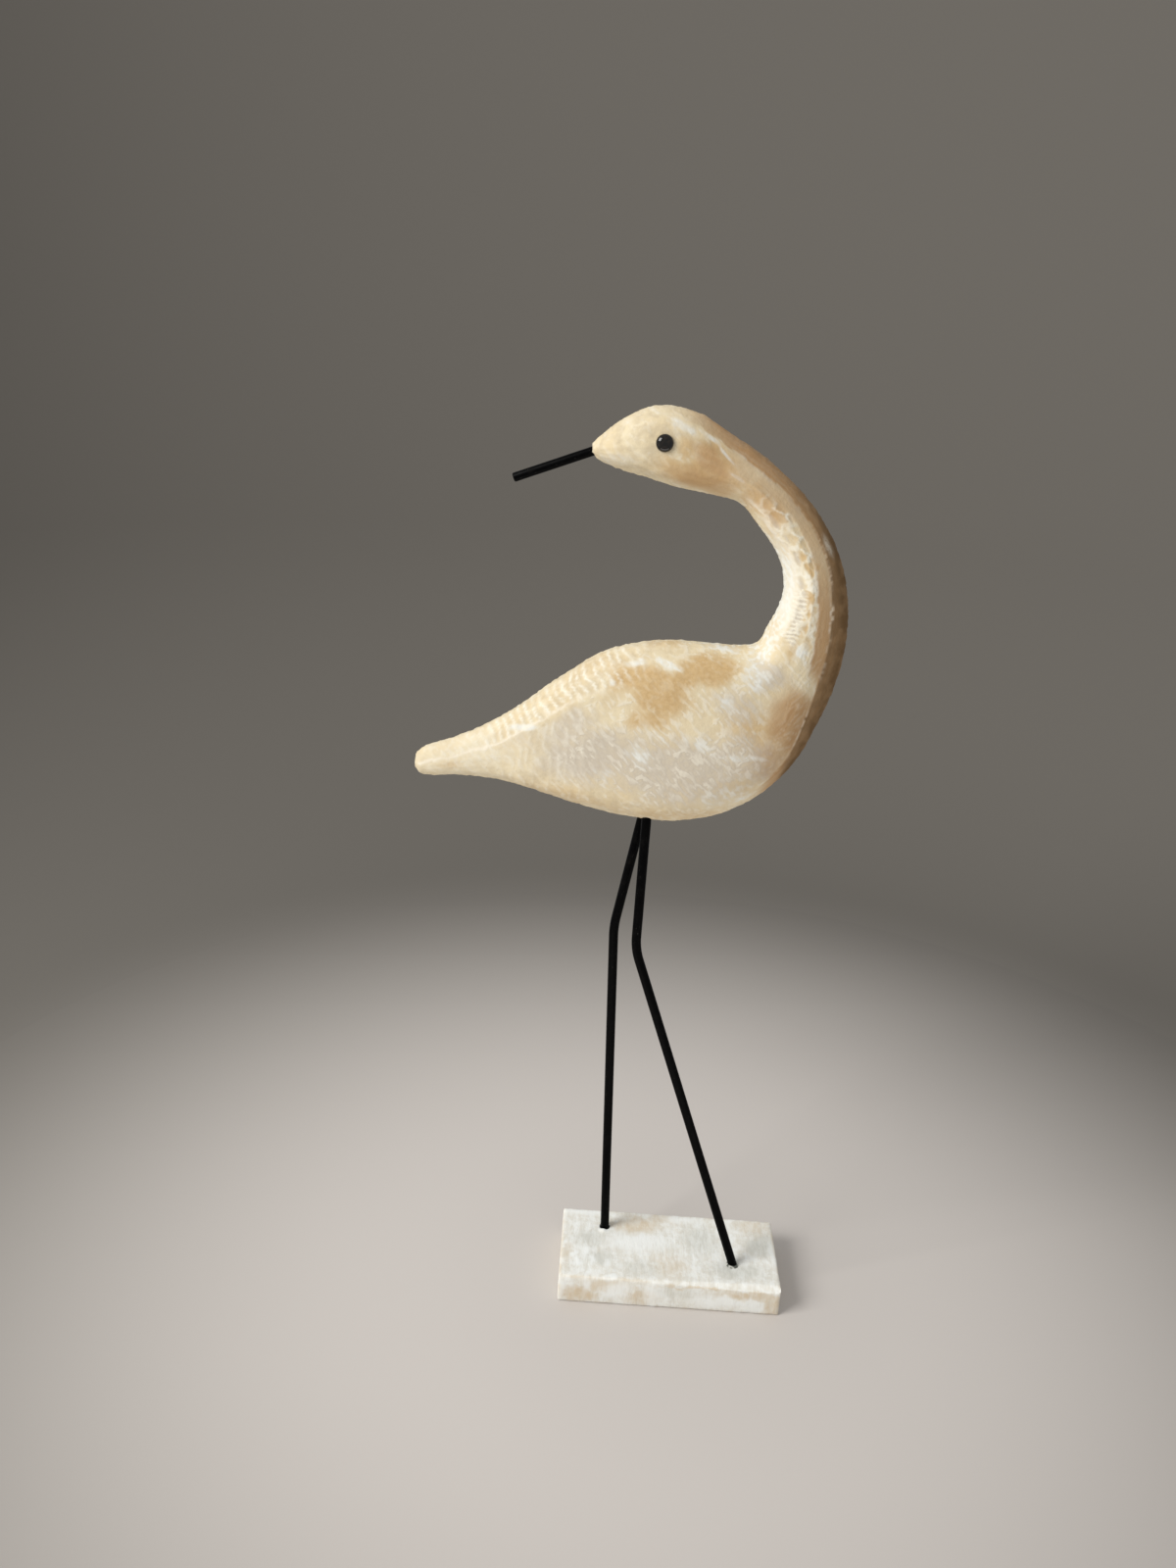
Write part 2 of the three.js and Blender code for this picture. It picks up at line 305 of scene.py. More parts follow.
GREYED_WASH = [
    ((-45, 3, 17.5), (9, 7, 5), 0.6),
    ((-38, -12, 17.5), (8, 5, 5), 0.8),
    ((38, -15, 17.5), (15, 7, 5), 0.75),
    ((18, 8, 17.5), (11, 11, 5), 0.6),
    ((53, 7, 17.5), (9, 10, 5), 0.8),
    ((-15, -18, 17.5), (13, 6, 5), 0.5),
    ((4, -27.5, 12), (12, 4, 5), 0.5),
]
FRESH_WASH = [
    ((-18, 2, 17.5), (16, 8, 5), 0.85),
    ((-47, 26, 17.5), (13, 3.5, 4), 0.9),
    ((7, 24, 17.5), (10, 4, 4), 0.75),
    ((58.5, -2, 17.5), (3, 14, 5), 0.7),
    ((-36.5, 10.5, 17.5), (3.5, 2.5, 4), 1.0),
    ((-52, -10, 17.5), (1.8, 4, 4), 1.0),
    ((-49.5, -16, 17.5), (1.8, 4, 4), 1.0),
    ((-46, -7.5, 17.5), (2, 4.5, 4), 1.0),
    ((-41.5, -14, 17.5), (2, 4.5, 4), 1.0),
    ((-34, -15.5, 17.5), (2.5, 2.5, 4), 0.9),
    ((-31.5, -26, 18), (4, 3, 3), 1.0),
    ((-28.5, -27.5, 9.6), (8, 3, 5), 0.85),
    ((-44, -27.5, 12.5), (3, 3, 3), 0.8),
    ((-8, -27.5, 10), (5, 3, 8), 0.7),
    ((28, -27.5, 6.5), (20, 3, 4), 0.85),
    ((-58, -27.5, 9), (3, 3, 8), 0.7),
    ((44, -27.5, 2.5), (8, 3, 2.5), 0.6),
]
# Leg routes in millimetres: the foot at the top of the block, the knee, the hip at the belly, and
# how far from the knee the bend begins.
LEGS = {
    "leg_near": {"foot": (34.8, -10.1, 17.5), "knee": (-31.4, -4.9, 203.8),
                 "hip": (-30.9, -3, 272.2), "bend": 6.5},
    "leg_far": {"foot": (-35.9, 13.5, 17.5), "knee": (-42.8, 8.4, 209),
                "hip": (-31.7, 6.6, 276.6), "bend": 5.5},
}
CHALK = (0.86, 0.875, 0.84, 1)
CREAM_CHALK = (0.79, 0.775, 0.71, 1)
THIN_CHALK = (0.70, 0.67, 0.585, 1)
DUSTY_CHALK = (0.60, 0.61, 0.56, 1)
FRESH_CHALK = (0.90, 0.92, 0.90, 1)
BLOCK_WOOD = (0.67, 0.565, 0.415, 1)
BLOCK_GRAIN = (0.52, 0.46, 0.37, 1)


def leg_point(leg, key):
    return Vector(LEGS[leg][key]) * MM


def unevenness(place, size):
    """Perlin noise from about -0.7 to 0.7, its lumps about as big as size."""
    return noise.noise(place / size)


def clamp(value):
    return min(1, max(0, value))


def drill(piece, start, end, diameter):
    """Cuts a round hole from start to end into the piece."""
    axis = end - start
    bm = bmesh.new()
    bmesh.ops.create_cone(bm, cap_ends=True, segments=HOLE_SIDES, radius1=diameter / 2,
                          radius2=diameter / 2, depth=axis.length)
    bmesh.ops.transform(bm, verts=bm.verts, matrix=Matrix.Translation((start + end) / 2)
                        @ axis.to_track_quat("Z", "Y").to_matrix().to_4x4())
    plug = finish_mesh("plug", bm, piece.data.materials[0], smooth=False)
    cut = piece.modifiers.new("hole", "BOOLEAN")
    cut.operation = "DIFFERENCE"
    cut.solver = "EXACT"
    cut.object = plug
    cut_mesh = bpy.data.meshes.new_from_object(
        piece.evaluated_get(bpy.context.evaluated_depsgraph_get()))
    piece.modifiers.clear()
    piece.data = cut_mesh
    bpy.data.objects.remove(plug)


def block_cover(place, patches):
    """How strongly the patches, whose edges are ragged, cover a point given in millimetres."""
    ragged = 2.4 * noise.noise_vector(place / 6) + 1.4 * noise.noise_vector(place / 2)
    cover = 0.0
    for middle, sizes, strength in patches:
        away = place + ragged - Vector(middle)
        away = Vector((away[i] / sizes[i] for i in range(3))).length
        cover = max(cover, strength * clamp(1.6 - 1.2 * away))
    return cover


def base_material():
    material, tree, shader = new_material("whitewashed_block", 0.82, specular=0.3)
    wash = add_node(tree, "Attribute", attribute_name="wash").outputs["Color"]
    beige, greyed, fresh = add_node(tree, "SeparateColor", {0: wash}).outputs
    cloud = step_up(tree, mottle(tree, 0.012, detail=4), 0.35, 0.65)
    streak = mottle(tree, 0.0024, detail=3, roughness=0.6, scale=(1, 0.3, 0.3))
    streak = step_up(tree, streak, 0.35, 0.65)
    blots = step_up(tree, mottle(tree, 0.0042, detail=4, roughness=0.6), 0.45, 0.62)
    grain = mottle(tree, 0.0007, scale=(1, 0.14, 0.14))
    thin = times(tree, streak, step_up(tree, fresh, 0.0, 0.8, 0.6, 0.1))
    dusty = times(tree, greyed, step_up(tree, streak, 0, 1, 0.6, 1.0))
    bare = times(tree, beige, step_up(tree, streak, 0, 1, 0.7, 1.0))
    hold = step_up(tree, calc(tree, "MAXIMUM", beige, greyed), 0.0, 0.7, 0.6, 0.15)
    thick = calc(tree, "MAXIMUM", fresh, times(tree, blots, hold))
    set_colour(tree, shader, CHALK, (cloud, CREAM_CHALK), (thin, THIN_CHALK), (dusty, DUSTY_CHALK),
               (bare, BLOCK_WOOD), (times(tree, thick, 0.9), FRESH_CHALK),
               (step_up(tree, grain, 0.55, 0.8, high=0.25), BLOCK_GRAIN))
    height = calc(tree, "ADD", times(tree, streak, 0.4), times(tree, thick, 0.5))
    set_bump(tree, shader, height, 0.5, 0.0003)
    return material


def block_wear(co, normal):
    """At a point of the block: its three washes, and how far saw, rubbing, paint and wear move it."""
    x, y, z = co / MM
    saw = noise.noise(Vector((x / 1.3, y / 15, z / 15)))
    depth = 0.10 * unevenness(co, 12 * MM) + 0.05 * saw - 0.10
    inside = sorted(BASE_SIZE[i] / 2 - abs(co[i] - BASE_MIDDLE[i]) for i in range(3))
    near_edge = max(0, 1 - inside[1] / (RUB_WIDTH * MM))
    rubbed = 0.8 * near_edge * clamp(0.5 + 1.6 * unevenness(co, 5 * MM))
    worn = 0.15 + 0.85 * clamp((x - WORN_FROM) / WORN_OVER)
    back, down = (co.y - BASE_LOW.y) / MM, (BASE_HIGH.z - co.z) / MM
    slope = Vector((0, 1 / WORN_WIDTH, -1 / WORN_HEIGHT))
    under = worn - back / WORN_WIDTH - down / WORN_HEIGHT
    if under > 0.05:
        rubbed *= 0.3
    beige, greyed, fresh = (block_cover(co / MM, patches)
                            for patches in (BARE_BEIGE, GREYED_WASH, FRESH_WASH))
    depth -= near_edge * (0.22 + 0.5 * max(0, unevenness(co, 3.5 * MM)))
    lump = (co - LUMP_PLACE).length / (LUMP_RADIUS * MM)
    if lump < 1:
        depth += LUMP_HEIGHT * (1 - lump ** 2) ** 2
    if co.z < BASE_LOW.z + 0.01 * MM:
        depth = 0
    move = normal * depth
    if under > 0:
        move += slope * (under / slope.length_squared)
    return (max(beige, rubbed), greyed, fresh * (1 - rubbed), 1), move * MM


def make_base():
    bm = bmesh.new()
    bmesh.ops.create_cube(bm, size=1)
    bmesh.ops.scale(bm, vec=BASE_SIZE, verts=bm.verts)
    bmesh.ops.translate(bm, vec=BASE_MIDDLE, verts=bm.verts)
    bmesh.ops.bevel(bm, geom=bm.edges, offset=BASE_EDGE, segments=3, profile=0.5,
                    affect="EDGES", material=-1)
    for axis in range(3):
        long = [e for e in bm.edges
                if abs((e.verts[1].co - e.verts[0].co)[axis]) > BASE_SIZE[axis] / 2]
        cuts = round(BASE_SIZE[axis] / BASE_CELL)
        bmesh.ops.subdivide_edges(bm, edges=long, cuts=cuts, use_grid_fill=True)
    bm.normal_update()
    wash = bm.verts.layers.float_color.new("wash")
    moves = []
    for v in bm.verts:
        v[wash], move = block_wear(v.co, v.normal)
        moves.append(move)
    for v, move in zip(bm.verts, moves):
        v.co += move
    base = finish_mesh("base_block_washed", bm, base_material())
    for leg in LEGS:
        foot, knee = leg_point(leg, "foot"), leg_point(leg, "knee")
        shin = (knee - foot).normalized()
        drill(base, foot + shin * HOLE_MOUTH, foot - shin * FOOT_DEPTH, FOOT_HOLE_DIAMETER)
    return base


noise.seed_set(WASH_SEED)
base = make_base()
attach(base, "root")
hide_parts("base_block")

# Glue ring
# Glue that was squeezed out round the near foot as the rod went in. It has dried to a low glossy
# ring, dark with milky blots.
GLUE_RADII = (3.6, 3.3, 1.1)
GLUE_SHIFT = Vector((-0.1, -0.2, -0.1)) * MM
GLUE_SIDES, GLUE_RINGS = 28, 12
DARK_GLUE = (0.10, 0.105, 0.09, 1)
MILKY_GLUE = (0.55, 0.55, 0.50, 1)


def glue_material():
    material, tree, shader = new_material("dried_glue", 0.18)
    blots = mottle(tree, 0.0016, detail=3)
    set_colour(tree, shader, DARK_GLUE, (step_up(tree, blots, 0.45, 0.62), MILKY_GLUE))
    return material


def make_glue():
    bm = bmesh.new()
    bmesh.ops.create_uvsphere(bm, u_segments=GLUE_SIDES, v_segments=GLUE_RINGS, radius=1)
    length, width, height = GLUE_RADII
    for v in bm.verts:
        swell = 1 + 0.1 * unevenness(v.co, 0.8)
        v.co = Vector((v.co.x * length * swell, v.co.y * width * swell, v.co.z * height)) * MM
    bmesh.ops.translate(bm, vec=leg_point("leg_near", "foot") + GLUE_SHIFT, verts=bm.verts)
    return finish_mesh("glue_ring", bm, glue_material())


glue = make_glue()
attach(glue, "root")

# Legs
# Two lengths of round steel rod, each bent once in a jig for the knee and painted satin black.
# They are pushed into the block and into the belly and hold the bird up.
LEG_DIAMETER = 4.75 * MM
HIP_DEPTH = 15 * MM
ROD_SIDES = 28
BEND_STEPS = 14
ROD_PAINT = (0.0008, 0.0008, 0.0009, 1)
ROD_DUST = (0.003, 0.0028, 0.0026, 1)
ROD_SPECKS = (0.075, 0.07, 0.065, 1)


def rod_material():
    material, tree, shader = new_material("black_painted_rod", 0.5, specular=0.035)
    dust = mottle(tree, 0.004, detail=4)
    specks = mottle(tree, 0.0009, detail=1)
    set_colour(tree, shader, ROD_PAINT, (step_up(tree, dust, 0.5, 0.75), ROD_DUST),
               (step_up(tree, specks, 0.73, 0.80, high=0.5), ROD_SPECKS))
    set_roughness(tree, shader, step_up(tree, dust, 0.35, 0.7, 0.36, 0.56))
    set_bump(tree, shader, mottle(tree, 0.0016), 0.25, 0.0002)
    return material


def add_rod(bm, path, radii):
    """A round rod swept along path, whose points lie in one nearly upright plane. Ends closed."""
    count = len(path)
    frames = []
    for i, point in enumerate(path):
        ahead = (path[min(i + 1, count - 1)] - path[max(i - 1, 0)]).normalized()
        side = (Vector((0, 1, 0)) - ahead * ahead.y).normalized()
        turn = Matrix((side, ahead.cross(side), ahead)).transposed().to_4x4()
        frames.append(Matrix.Translation(point) @ turn @ Matrix.Scale(radii[i], 4))
    verts = bmesh.ops.create_circle(bm, segments=ROD_SIDES, radius=1, matrix=frames[0])["verts"]
    first = list({e for v in verts for e in v.link_edges})
    rim = first
    for before, after in zip(frames, frames[1:]):
        verts, rim = extrude_rim(bm, rim)
        bmesh.ops.transform(bm, matrix=after @ before.inverted(), verts=verts)
    bmesh.ops.contextual_create(bm, geom=first)
    bmesh.ops.contextual_create(bm, geom=rim)
    bmesh.ops.recalc_face_normals(bm, faces=bm.faces)


def leg_path(leg):
    """Points down the middle of one leg, from the foot's blind end to the hip's."""
    foot, knee, hip = (leg_point(leg, key) for key in ("foot", "knee", "hip"))
    shin, thigh = (knee - foot).normalized(), (hip - knee).normalized()
    bend = LEGS[leg]["bend"] * MM
    start, end = knee - shin * bend, knee + thigh * bend
    path = [foot - shin * FOOT_DEPTH, foot, start - shin * bend]
    for step in range(BEND_STEPS + 1):
        t = step / BEND_STEPS
        path.append(start.lerp(knee, t).lerp(knee.lerp(end, t), t))
    path += [end + thigh * bend, hip, hip + thigh * HIP_DEPTH]
    return path


rod_black = rod_material()
for leg in LEGS:
    rod_mesh = bmesh.new()
    route = leg_path(leg)
    add_rod(rod_mesh, route, [LEG_DIAMETER / 2] * len(route))
    rod = finish_mesh(leg + "_rod", rod_mesh, rod_black)
    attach(rod, "root")
    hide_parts(leg)

# Bird
# One piece of pale softwood, sawn to outline and carved with a knife and a gouge, with the tool
# marks left. It is brushed with cream and white wash, rubbed back to the wood on the high parts
# and darkened with a brown glaze along the nape and the breast. Light and shade are painted into
# the colour as well: painted shade on the steep outer facet of the nape and the breast, painted
# light on the inner side of the neck and under the belly, and a painted glint on the nape.
BIRD_PLANE_Y = 1.7
# Ribs from the tail end to the beak's root, in millimetres. Each joins a point of the inner edge
# (back, inside of the neck, throat) to one of the outer edge (belly, breast, nape, crown). Then
# come half the thickness, and how far in from each edge the two facet ridges lie.
RIBS = [
    ((-143.2, 298.2), (-143.6, 290.7), 4.2, (2, 3.2), (1.8, 3)),
    ((-140.2, 300.7), (-141.2, 288), 6.5, (3, 6), (2.2, 4)),
    ((-121.6, 308.7), (-124, 288.3), 8.5, (3.4, 8), (3, 6)),
    ((-100.3, 320.7), (-105, 288), 11.5, (4, 11.3), (4, 9)),
    ((-79.2, 337.3), (-85.8, 284.1), 15, (5, 13), (5, 13)),
    ((-57.4, 352.7), (-65.8, 278.2), 18.5, (6, 14.5), (6.5, 17)),
    ((-34, 359.6), (-42, 273.4), 21, (6.5, 15), (7.5, 19)),
    ((-12, 360.5), (-16.5, 272.5), 22, (6.5, 15), (8, 20)),
    ((5.2, 360.1), (7.8, 279.2), 21.5, (6.5, 14.5), (8.3, 20)),
    ((14, 362.1), (31.7, 297.4), 19.5, (6, 13), (9.6, 20.5)),
    ((17.8, 369.7), (46.4, 327.2), 17, (5.2, 11.5), (12.6, 20.8)),
    ((21.6, 378.6), (53.9, 358), 15, (4.6, 10), (11, 19)),
    ((23.2, 388.4), (52.9, 383.2), 14.3, (4.4, 9.2), (9.3, 16.2)),
    ((19.5, 401.6), (46.5, 403.8), 14, (4.4, 8.6), (7.4, 13.4)),
    ((9.4, 414.7), (34.4, 422.6), 14, (4.2, 8.4), (6, 11.6)),
    ((-1.2, 425), (14.3, 440.8), 14.5, (4, 8.2), (5.4, 10.8)),
    ((-14, 427.8), (-6, 453.5), 15, (4, 8), (5.2, 10.6)),
    ((-29, 429.8), (-23.1, 462.3), 15.5, (4, 8.5), (5.2, 10.6)),
    ((-44, 433.7), (-40.8, 463.8), 15, (4, 8.5), (5, 10)),
    ((-56, 436.5), (-55.6, 456.7), 12, (3.4, 6.4), (4, 7.4)),
    ((-64.5, 439.6), (-64.3, 449.2), 7, (2.2, 3.6), (2.3, 3.8)),
    ((-67, 442), (-67.1, 446.5), 3.5, (1, 1.8), (1, 1.8)),
]
LAST_RIB = len(RIBS) - 1
INNER_EDGE = [np.array(rib[0], float) for rib in RIBS]
OUTER_EDGE = [np.array(rib[1], float) for rib in RIBS]
THICKNESS_RIDGES = [np.array((rib[2], *rib[3], *rib[4]), float) for rib in RIBS]
# Thickness at the edge and at the ridges, as parts of the half thickness
EDGE_THICKNESS = 0.28
STEEP_THICKNESS = 0.78
SHALLOW_THICKNESS = 0.95
# The mesh: rings along the bird, in millimetres, and samples on each facet from edge to edge
RING_SPACING = 0.95
STATION_STEPS = 40
FACET_SAMPLES = (3, 6, 9, 14, 14, 9, 6, 3)
RING_SIDES = 2 * sum(FACET_SAMPLES)
CRISP_PASSES, BODY_PASSES = 6, 40
KEPT_AT_EDGE = 5
END_CAP_SCALES = (0.86, 0.62, 0.34)
# Where each kind of mark lies along the bird, as the ribs where it begins, is full, starts to fade
# and is gone. Its pitch or size and its depth or height are in millimetres.
CHATTER_RIBS = (2.0, 3.0, 5.2, 6.2)
CHATTER_PITCH, CHATTER_DEPTH = 4.2, 0.42
FLANK_RIBS = (2.4, 3.2, 4.7, 5.8)
FLANK_PITCH, FLANK_DEPTH = 4.0, 0.16
GOUGED_RIBS = (10.4, 11.2, 14.2, 15.2)
GOUGE_LENGTH, GOUGE_WIDTH, GOUGE_DEPTH = 6.8, 6.2, 0.34
LADDER_RIBS = (10.2, 10.6, 11.8, 12.3)
LADDER_PITCH, LADDER_HEIGHT = 1.9, 0.2
HEAD_RIBS = (15.2, 16.5, 19.5, 20.5)
SCOOP_LENGTH, SCOOP_WIDTH, SCOOP_DEPTH = 6.5, 5.2, 0.14
RASPED_RIBS = (7.6, 8.6, 10.4, 11.5)
RASP_PITCH, RASP_HEIGHT = 2.3, 0.07
FUZZ_SIZE, FUZZ_HEIGHT = 1.9, 0.42
CUT_BACK = 0.1
FAINTEST = 0.01
# Paint that follows the facets, as layers that add up: how strong, and on which ribs.
BODY_RIBS = (4.0, 5.8, 10.4, 11.4)
# The steep layers lay brown glaze and painted shade on the steep outer facet, which faces away from
# the light.
STEEP_GLAZE_AND_SHADE = [(0.58, (8.2, 9.2, 15.5, 18.0)), (0.38, (8.4, 9.4, 12.6, 15.5))]
SHALLOW_GLAZE = [(0.27, (10.1, 10.6, 14.5, 16.5)), (0.16, (10.1, 10.6, 11.5, 13.0))]
# The inner layers whiten the inner side of the neck: white wash and painted light, where that side
# faces the light.
INNER_WHITE_AND_LIGHT = [(0.6, (8.6, 9.6, 13.4, 15.2)), (0.3, (10.2, 11.0, 12.6, 13.8))]
# Paint that lies on certain places of the side, in millimetres of X and Z: middle, half length,
# half width, tilt in degrees from +X, and how strong.
RUBBED_TAN = [
    ((-43, 346), 11, 7, 0, 1.0),
    ((-29, 338.5), 14, 10, -15, 1.0),
    ((-20, 346), 9, 6, 20, 1.0),
    ((-9, 351), 15, 5.5, 2, 1.0),
    ((-31, 347.5), 10, 4.5, -3, 0.9),
    ((-34, 328), 13, 6, 10, 0.75),
    ((-62, 348), 14, 4.5, 30, 0.3),
    ((-31, 361), 16, 3, -3, 0.5),
    ((-72, 285), 30, 6, -13, 0.40),
    ((-20, 278), 36, 6, 0, 0.42),
    ((14, 326), 14, 12, 0, 0.6),
    ((14, 302), 18, 12, 20, 0.36),
    ((-126, 296), 7, 2.5, 5, 0.45),
    ((-20, 437), 21, 6, -11, 0.85),
    ((-12, 445), 12, 5.5, -38, 0.8),
    ((-37, 440), 9, 4, -10, 0.2),
    ((8, 425), 14, 6, -45, 0.7),
    ((29.3, 364.6), 4.4, 6, 0, 0.6),
    ((33.5, 399.2), 2, 3.8, 0, 0.85),
    ((33.4, 386.6), 3.2, 3.4, 0, 0.85),
    ((34.4, 380.8), 3.2, 2.4, 0, 0.8),
    ((-27, 447), 6, 5, -20, 0.7),
]
BROWN_GLAZE = [
    ((34, 328), 13, 17, 20, 0.54),
    ((27, 313), 15, 12, 40, 0.3),
    ((-18, 434), 18, 6, -12, 0.32),
    ((-14, 442), 13, 6, -36, 0.36),
    ((-2, 440), 12, 8, -35, 0.24),
    ((12, 428), 16, 9, -45, 0.28),
    ((2, 449), 20, 5, -42, 0.2),
    ((-20, 462), 16, 3, -25, 0.25),
]
GREY_WASH = [
    ((-57, 308), 30, 15, 10, 1.0),
    ((-20, 304), 36, 18, 0, 1.0),
    ((8, 311), 24, 14, -10, 0.85),
    ((-86, 312), 14, 7, 15, 0.4),
    ((-70, 320), 16, 8, 30, 0.8),
    ((6, 336), 13, 10, -20, 0.7),
    ((19, 351), 9, 8, 0, 0.9),
    ((2, 449), 22, 6, -42, 0.9),
    ((24, 428), 12, 5, -60, 0.5),
]
THICK_WHITE_AND_LIGHT = [
    ((-41, 352.6), 5.5, 1.6, 8, 0.9),
    ((-27, 353), 7.5, 1.9, -18, 0.9),
    ((-51.5, 343.5), 2.2, 2, 0, 1.0),
    ((-1.5, 359.5), 9, 2, -2, 0.75),
    ((12, 351), 7, 7, 20, 0.72),
    ((17.5, 361), 2.4, 8, -12, 0.8),
    ((33.5, 362), 2.5, 6, 0, 0.8),
    ((12, 361), 3, 5, 20, 0.7),
    ((2, 336.5), 6, 4, -15, 0.75),
    ((-29, 320), 6, 3, -40, 0.4),
    ((-37.5, 309.5), 8, 5, -30, 0.75),
    ((-52.5, 299.5), 7, 3, -25, 0.6),
    ((-12, 320), 12, 4, -28, 0.6),
    ((12, 312), 14, 1.8, -2, 0.75),
    ((13, 289), 7, 1.8, 32, 0.8),
    # Painted light: this pale patch brightens the underside of the belly, as if lit from below.
    ((4, 291), 18, 7, 12, 0.45),
    ((-56, 441), 9, 4, -12, 0.5),
    ((-28, 456.8), 9, 2.7, -29, 0.72),
    ((-16.2, 452.5), 7, 1.3, -35, 0.65),
    ((-8.3, 445.3), 7, 0.8, -42, 0.7),
    ((-4, 437), 5, 1.0, -35, 0.8),
    ((-41.5, 462.5), 4, 1.4, -20, 0.45),
    ((-53, 456.5), 4, 1.8, 20, 0.45),
    ((-92, 317), 8, 2, 10, 1.0),
    # A paler patch over the tail.
    ((-112, 303), 34, 14, 12, 0.42),
]
# One painted glint on the nape, a pale streak at the edge of the dark band, told in the same way
NAPE_GLINT = [((39.6, 409.2), 5.5, 1.3, -62, 0.55)]
CREAM_DEEP = (0.68, 0.565, 0.37, 1)
CREAM_PALE = (0.73, 0.635, 0.445, 1)
WOOD_DEEP = (0.53, 0.365, 0.18, 1)
WOOD_PALE = (0.60, 0.43, 0.225, 1)
SMUDGED_CREAM = (0.53, 0.44, 0.30, 1)
WASH_GREY = (0.53, 0.473, 0.392, 1)
STROKE_CREAM = (0.79, 0.74, 0.62, 1)
# Thick white, which also lays the painted light on the inner neck and under the belly.
WASH_WHITE_AND_LIGHT = (0.755, 0.765, 0.72, 1)
GLAZE_BROWN = (0.455, 0.28, 0.137, 1)
# Very dark brown of the steep outer facet: glaze and painted shade together.
UMBER_GLAZE_AND_SHADE = (0.145, 0.082, 0.032, 1)
# Held wash, which also lays the painted glint on the nape.
HELD_CREAM_AND_GLINT = (0.80, 0.76, 0.64, 1)
CREST_CREAM = (0.79, 0.72, 0.59, 1)
STROKE_SIZE = 0.0019
STROKE_SHAPE = (0.36, 0.8, 1)

# A point of the carving: its rib, how far it lies along the inner and the outer edge and across
# from the inner one, how deep the section is, how far in from each edge its ridges lie, its side,
# -1 or 1, and its place. All but rib and side are in millimetres.
Spot = namedtuple("Spot", "rib along_in along_out across depth"
                  " in_steep in_shallow out_steep out_shallow side place")


def ramp(value, start, end):
    share = clamp((value - start) / (end - start))
    return share * share * (3 - 2 * share)


def window(value, rise, full, fall, gone):
    """0 before rise, 1 from full to fall, and 0 again past gone."""
    return ramp(value, rise, full) * (1 - ramp(value, fall, gone))


def through_points(points, t):
    """The point at t, from 0 to 1, on a centripetal Catmull-Rom curve through the points."""
    last = len(points) - 1
    index = min(int(t * last), last - 1)
    share = t * last - index
    p1, p2 = points[index], points[index + 1]
    p0 = points[index - 1] if index > 0 else 2 * p1 - p2
    p3 = points[index + 2] if index + 2 <= last else 2 * p2 - p1
    gap0, gap1, gap2 = (max(np.linalg.norm(b - a), 1e-9) ** 0.5
                        for a, b in ((p0, p1), (p1, p2), (p2, p3)))
    if np.linalg.norm(p2 - p1) < 1e-8:
        return p1.copy()
    slope1 = ((p1 - p0) / gap0 - (p2 - p0) / (gap0 + gap1)) * gap1 + (p2 - p1)
    slope2 = ((p3 - p2) / gap2 - (p3 - p1) / (gap1 + gap2)) * gap1 + (p2 - p1)
    cubic = 2 * p1 - 2 * p2 + slope1 + slope2
    square = -3 * p1 + 3 * p2 - 2 * slope1 - slope2
    return p1 + slope1 * share + square * share ** 2 + cubic * share ** 3


def ring_stations():
    """Places along the bird, as t from 0 to 1, with about RING_SPACING from one to the next,
    which is measured halfway between the longer edge and the mean of both."""
    fine = np.linspace(0, 1, STATION_STEPS * LAST_RIB + 1)
    stations, walked = [0.0], 0.0
    for a, b in zip(fine, fine[1:]):
        steps = [np.linalg.norm(through_points(edge, b) - through_points(edge, a))
                 for edge in (INNER_EDGE, OUTER_EDGE)]
        walked += 0.5 * max(steps) + 0.5 * sum(steps) / 2
        if walked >= RING_SPACING:
            stations.append(b)
            walked = 0.0
    if stations[-1] < 1:
        stations[-1] = 1.0
    return stations


def half_section(t):
    """Samples of one half of the carved section at t, from the inner edge round to the outer, as
    how far across each lies and its half thickness. Also gives the section's depth."""
    depth = np.linalg.norm(through_points(INNER_EDGE, t) - through_points(OUTER_EDGE, t))
    half, in_steep, in_shallow, out_steep, out_shallow = through_points(THICKNESS_RIDGES, t)
    corners = [
        (0, 0),
        (0, EDGE_THICKNESS),
        (in_steep / depth, STEEP_THICKNESS),
        (in_shallow / depth, SHALLOW_THICKNESS),
        ((in_shallow + depth - out_shallow) / (2 * depth), 1),
        (1 - out_shallow / depth, SHALLOW_THICKNESS),
        (1 - out_steep / depth, STEEP_THICKNESS),
        (1, EDGE_THICKNESS),
        (1, 0),
    ]
    samples = []
    for (a0, b0), (a1, b1), cuts in zip(corners, corners[1:], FACET_SAMPLES):
        for cut in range(cuts):
            share = cut / cuts
            samples.append((a0 + (a1 - a0) * share, b0 + (b1 - b0) * share))
    samples.append(corners[-1])
    return np.array(samples) * (depth, half), depth


def ease_ridges(samples, t):
    """Rounds the ridges of a half section. On the neck and the tail they stay crisper."""
    body = window(t * LAST_RIB, 4.5, 6.5, 9.0, 10.5)
    eased = samples.copy()
    for _ in range(int(round(CRISP_PASSES + BODY_PASSES * body))):
        eased[1:-1] += 0.5 * ((eased[:-2] + eased[2:]) / 2 - eased[1:-1])
        eased[0, 1] = 0
        eased[-1, 1] = 0
    from_edge = np.minimum(np.arange(len(samples)), np.arange(len(samples))[::-1])
    return samples + (eased - samples) * np.clip(from_edge / KEPT_AT_EDGE, 0, 1)[:, None]


